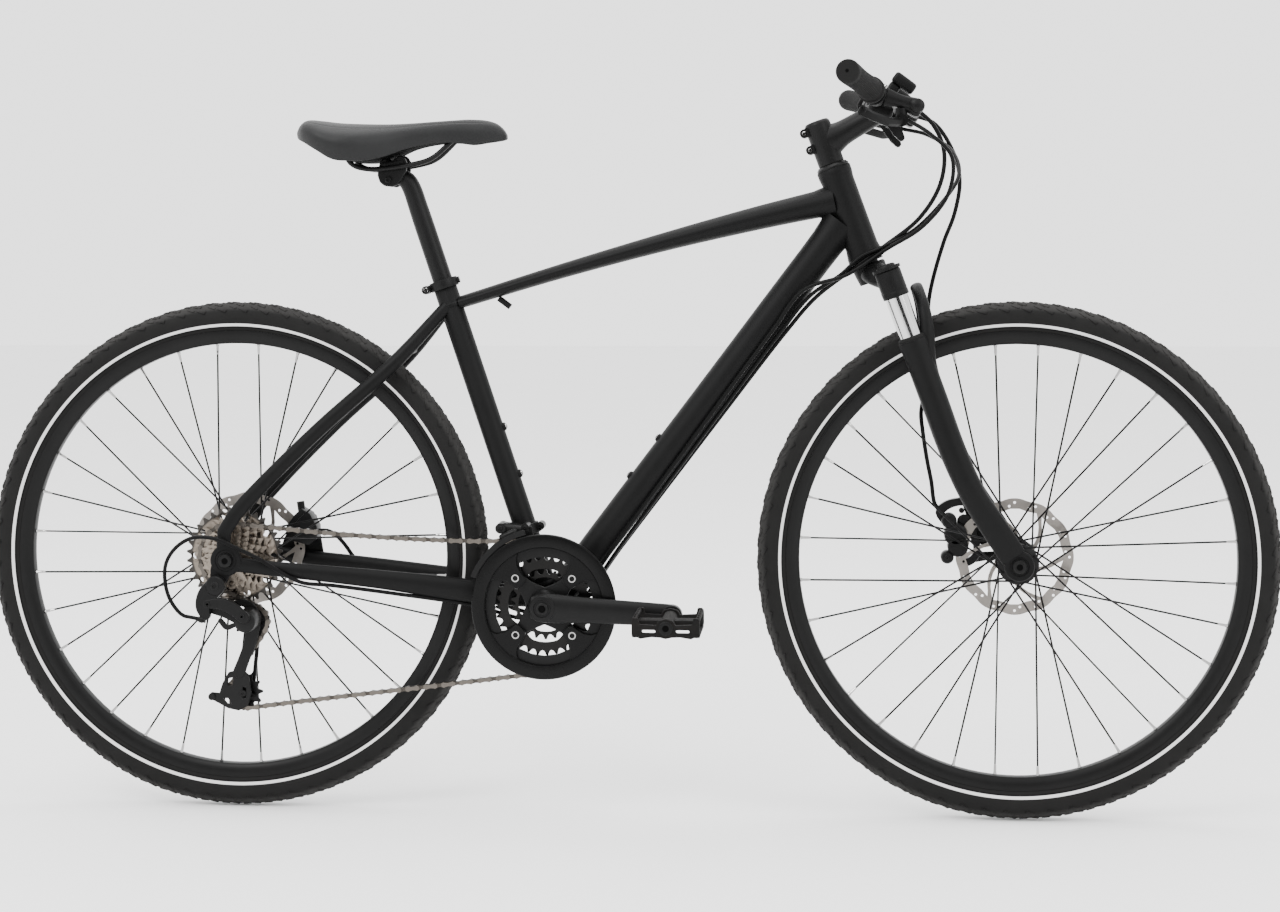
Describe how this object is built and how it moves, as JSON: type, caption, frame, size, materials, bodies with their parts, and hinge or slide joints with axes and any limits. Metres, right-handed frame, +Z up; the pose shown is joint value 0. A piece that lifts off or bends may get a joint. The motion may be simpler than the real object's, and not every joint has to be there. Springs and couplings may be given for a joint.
{
  "type": "bicycle",
  "caption": "Hybrid bicycle with suspension fork, disc brakes, triple chainset with a chain guard, derailleur gears, quick-release wheels and a height-adjustable saddle.",
  "frame": {"origin": "on the ground, midway between the two wheel axles, in the middle plane", "axes": "+X forward, +Y to the rider's left, +Z up; the chain is on the -Y side"},
  "size_m": [1.772, 0.6402, 1.0061],
  "materials": {
    "frame_paint": "matt black",
    "black_alloy": "satin black",
    "black_steel": "satin black",
    "chrome": "polished",
    "bare_steel": "brushed",
    "rotor_steel": "ground",
    "sprocket_steel": "plated",
    "tyre": "dark grey rubber with a pale stripe",
    "rubber": "matt black",
    "black_plastic": "matt black",
    "saddle_cover": "dark grey with a soft sheen"
  },
  "bodies": {
    "frame": {"frame": "frame_paint", "headset_upper_bearing": "black_steel", "headset_lower_bearing": "black_steel", "seat_collar": "black_alloy", "bottom_bracket": "black_steel", "front_derailleur": "black_steel", "rear_derailleur_body": "black_alloy", "rear_derailleur_cage": "black_steel", "chain": "bare_steel", "rear_brake_caliper": "black_alloy", "rear_axle": "black_steel", "rear_brake_hose": "rubber", "front_shift_cable": "rubber", "rear_shift_cable": "rubber"},
    "seat": {"seat_post": "black_alloy", "saddle_clamp": "black_alloy", "saddle_rails": "bare_steel", "saddle": "saddle_cover"},
    "guide_pulley": {"guide_pulley": "black_plastic"},
    "tension_pulley": {"tension_pulley": "black_plastic"},
    "rear_qr_lever": {"rear_qr_lever": "black_alloy"},
    "rear_wheel": {"rear_tyre": "tyre", "rear_rim": "black_alloy", "rear_hub": "black_alloy", "rear_rotor": "rotor_steel"},
    "cassette": {"cassette": "sprocket_steel"},
    "steering": {"fork_crown": "frame_paint", "right_stanchion": "chrome", "left_stanchion": "chrome", "stem": "black_alloy", "handlebar": "black_alloy", "right_grip": "rubber", "left_grip": "rubber", "right_brake_lever_body": "black_alloy", "left_brake_lever_body": "black_alloy", "right_shifter": "black_plastic", "left_shifter": "black_plastic", "front_brake_hose": "rubber"},
    "lockout_knob": {"lockout_knob": "black_plastic"},
    "right_brake_lever": {"right_brake_lever": "black_alloy"},
    "left_brake_lever": {"left_brake_lever": "black_alloy"},
    "right_shift_trigger": {"right_shift_trigger": "black_plastic"},
    "left_shift_trigger": {"left_shift_trigger": "black_plastic"},
    "fork": {"fork_lowers": "frame_paint", "front_axle": "black_steel", "front_brake_caliper": "black_alloy"},
    "front_qr_lever": {"front_qr_lever": "black_alloy"},
    "front_wheel": {"front_tyre": "tyre", "front_rim": "black_alloy", "front_hub": "black_alloy", "front_rotor": "rotor_steel"},
    "crank": {"crank_spindle": "bare_steel", "right_crank": "black_alloy", "left_crank": "black_alloy", "chainring_large": "black_alloy", "chainring_middle": "bare_steel", "chainring_small": "bare_steel", "chain_guard": "black_plastic"},
    "right_pedal": {"right_pedal": "black_plastic"},
    "left_pedal": {"left_pedal": "black_plastic"}
  },
  "joints": [
    {"name": "steering", "type": "hinge", "parent": "frame", "child": "steering", "pos_m": [0.33404, 0, 0.75695], "axis": [-0.342, 0, 0.9397], "range_deg": [-70, 70], "deforming": ["rear_brake_hose", "front_shift_cable", "rear_shift_cable"]},
    {"name": "fork_travel", "type": "slide", "parent": "steering", "child": "fork", "axis": [-0.342, 0, 0.9397], "range_m": [0, 0.04], "stiffness_N_per_m": 9000, "springref_m": -0.02, "deforming": ["front_brake_hose"]},
    {"name": "front_wheel_spin", "type": "hinge", "parent": "fork", "child": "front_wheel", "pos_m": [0.535, 0, 0.351], "axis": [0, 1, 0], "continuous": true},
    {"name": "rear_wheel_spin", "type": "hinge", "parent": "frame", "child": "rear_wheel", "pos_m": [-0.535, 0, 0.351], "axis": [0, 1, 0], "continuous": true},
    {"name": "crank_spin", "type": "hinge", "parent": "frame", "child": "crank", "pos_m": [-0.10052, 0, 0.291], "axis": [0, 1, 0], "continuous": true},
    {"name": "cassette_spin", "type": "hinge", "parent": "frame", "child": "cassette", "pos_m": [-0.535, 0, 0.351], "axis": [0, 1, 0], "continuous": true},
    {"name": "guide_pulley_spin", "type": "hinge", "parent": "frame", "child": "guide_pulley", "pos_m": [-0.509, -0.035, 0.262], "axis": [0, 1, 0], "continuous": true},
    {"name": "tension_pulley_spin", "type": "hinge", "parent": "frame", "child": "tension_pulley", "pos_m": [-0.51989, -0.035, 0.1641], "axis": [0, 1, 0], "continuous": true},
    {"name": "right_pedal_spin", "type": "hinge", "parent": "crank", "child": "right_pedal", "pos_m": [0.07437, -0.142, 0.28489], "axis": [0, 1, 0], "continuous": true},
    {"name": "left_pedal_spin", "type": "hinge", "parent": "crank", "child": "left_pedal", "pos_m": [-0.27542, 0.142, 0.29711], "axis": [0, 1, 0], "continuous": true},
    {"name": "seat_height", "type": "slide", "parent": "frame", "child": "seat", "axis": [-0.3156, 0, 0.9489], "range_m": [-0.08, 0.04]},
    {"name": "right_brake_pull", "type": "hinge", "parent": "steering", "child": "right_brake_lever", "pos_m": [0.37712, -0.166, 0.93752], "axis": [-0.8245, 0.5635, 0.052], "range_deg": [0, 5.5], "stiffness_Nm_per_rad": 3, "springref_deg": -5.73},
    {"name": "left_brake_pull", "type": "hinge", "parent": "steering", "child": "left_brake_lever", "pos_m": [0.37712, 0.166, 0.93752], "axis": [0.8245, 0.5635, -0.052], "range_deg": [0, 5.5], "stiffness_Nm_per_rad": 3, "springref_deg": -5.73},
    {"name": "right_shift_push", "type": "hinge", "parent": "steering", "child": "right_shift_trigger", "pos_m": [0.36112, -0.1165, 0.94552], "axis": [0, -1, 0], "range_deg": [0, 20], "stiffness_Nm_per_rad": 0.3, "springref_deg": -11.46},
    {"name": "left_shift_push", "type": "hinge", "parent": "steering", "child": "left_shift_trigger", "pos_m": [0.36112, 0.1165, 0.94552], "axis": [0, -1, 0], "range_deg": [0, 20], "stiffness_Nm_per_rad": 0.3, "springref_deg": -11.46},
    {"name": "lockout_turn", "type": "hinge", "parent": "steering", "child": "lockout_knob", "pos_m": [0.36042, -0.063, 0.74293], "axis": [-0.342, 0, 0.9397], "range_deg": [0, 90]},
    {"name": "front_qr_swing", "type": "hinge", "parent": "fork", "child": "front_qr_lever", "pos_m": [0.535, 0.0666, 0.351], "axis": [0.1045, 0, -0.9945], "range_deg": [0, 170]},
    {"name": "rear_qr_swing", "type": "hinge", "parent": "frame", "child": "rear_qr_lever", "pos_m": [-0.535, 0.0806, 0.351], "axis": [0.1045, 0, 0.9945], "range_deg": [0, 170]}
  ],
  "couplings": [
    {"joint": "cassette_spin", "follows": "crank_spin", "ratio": 1.913},
    {"joint": "guide_pulley_spin", "follows": "crank_spin", "ratio": -4},
    {"joint": "tension_pulley_spin", "follows": "crank_spin", "ratio": 4}
  ]
}
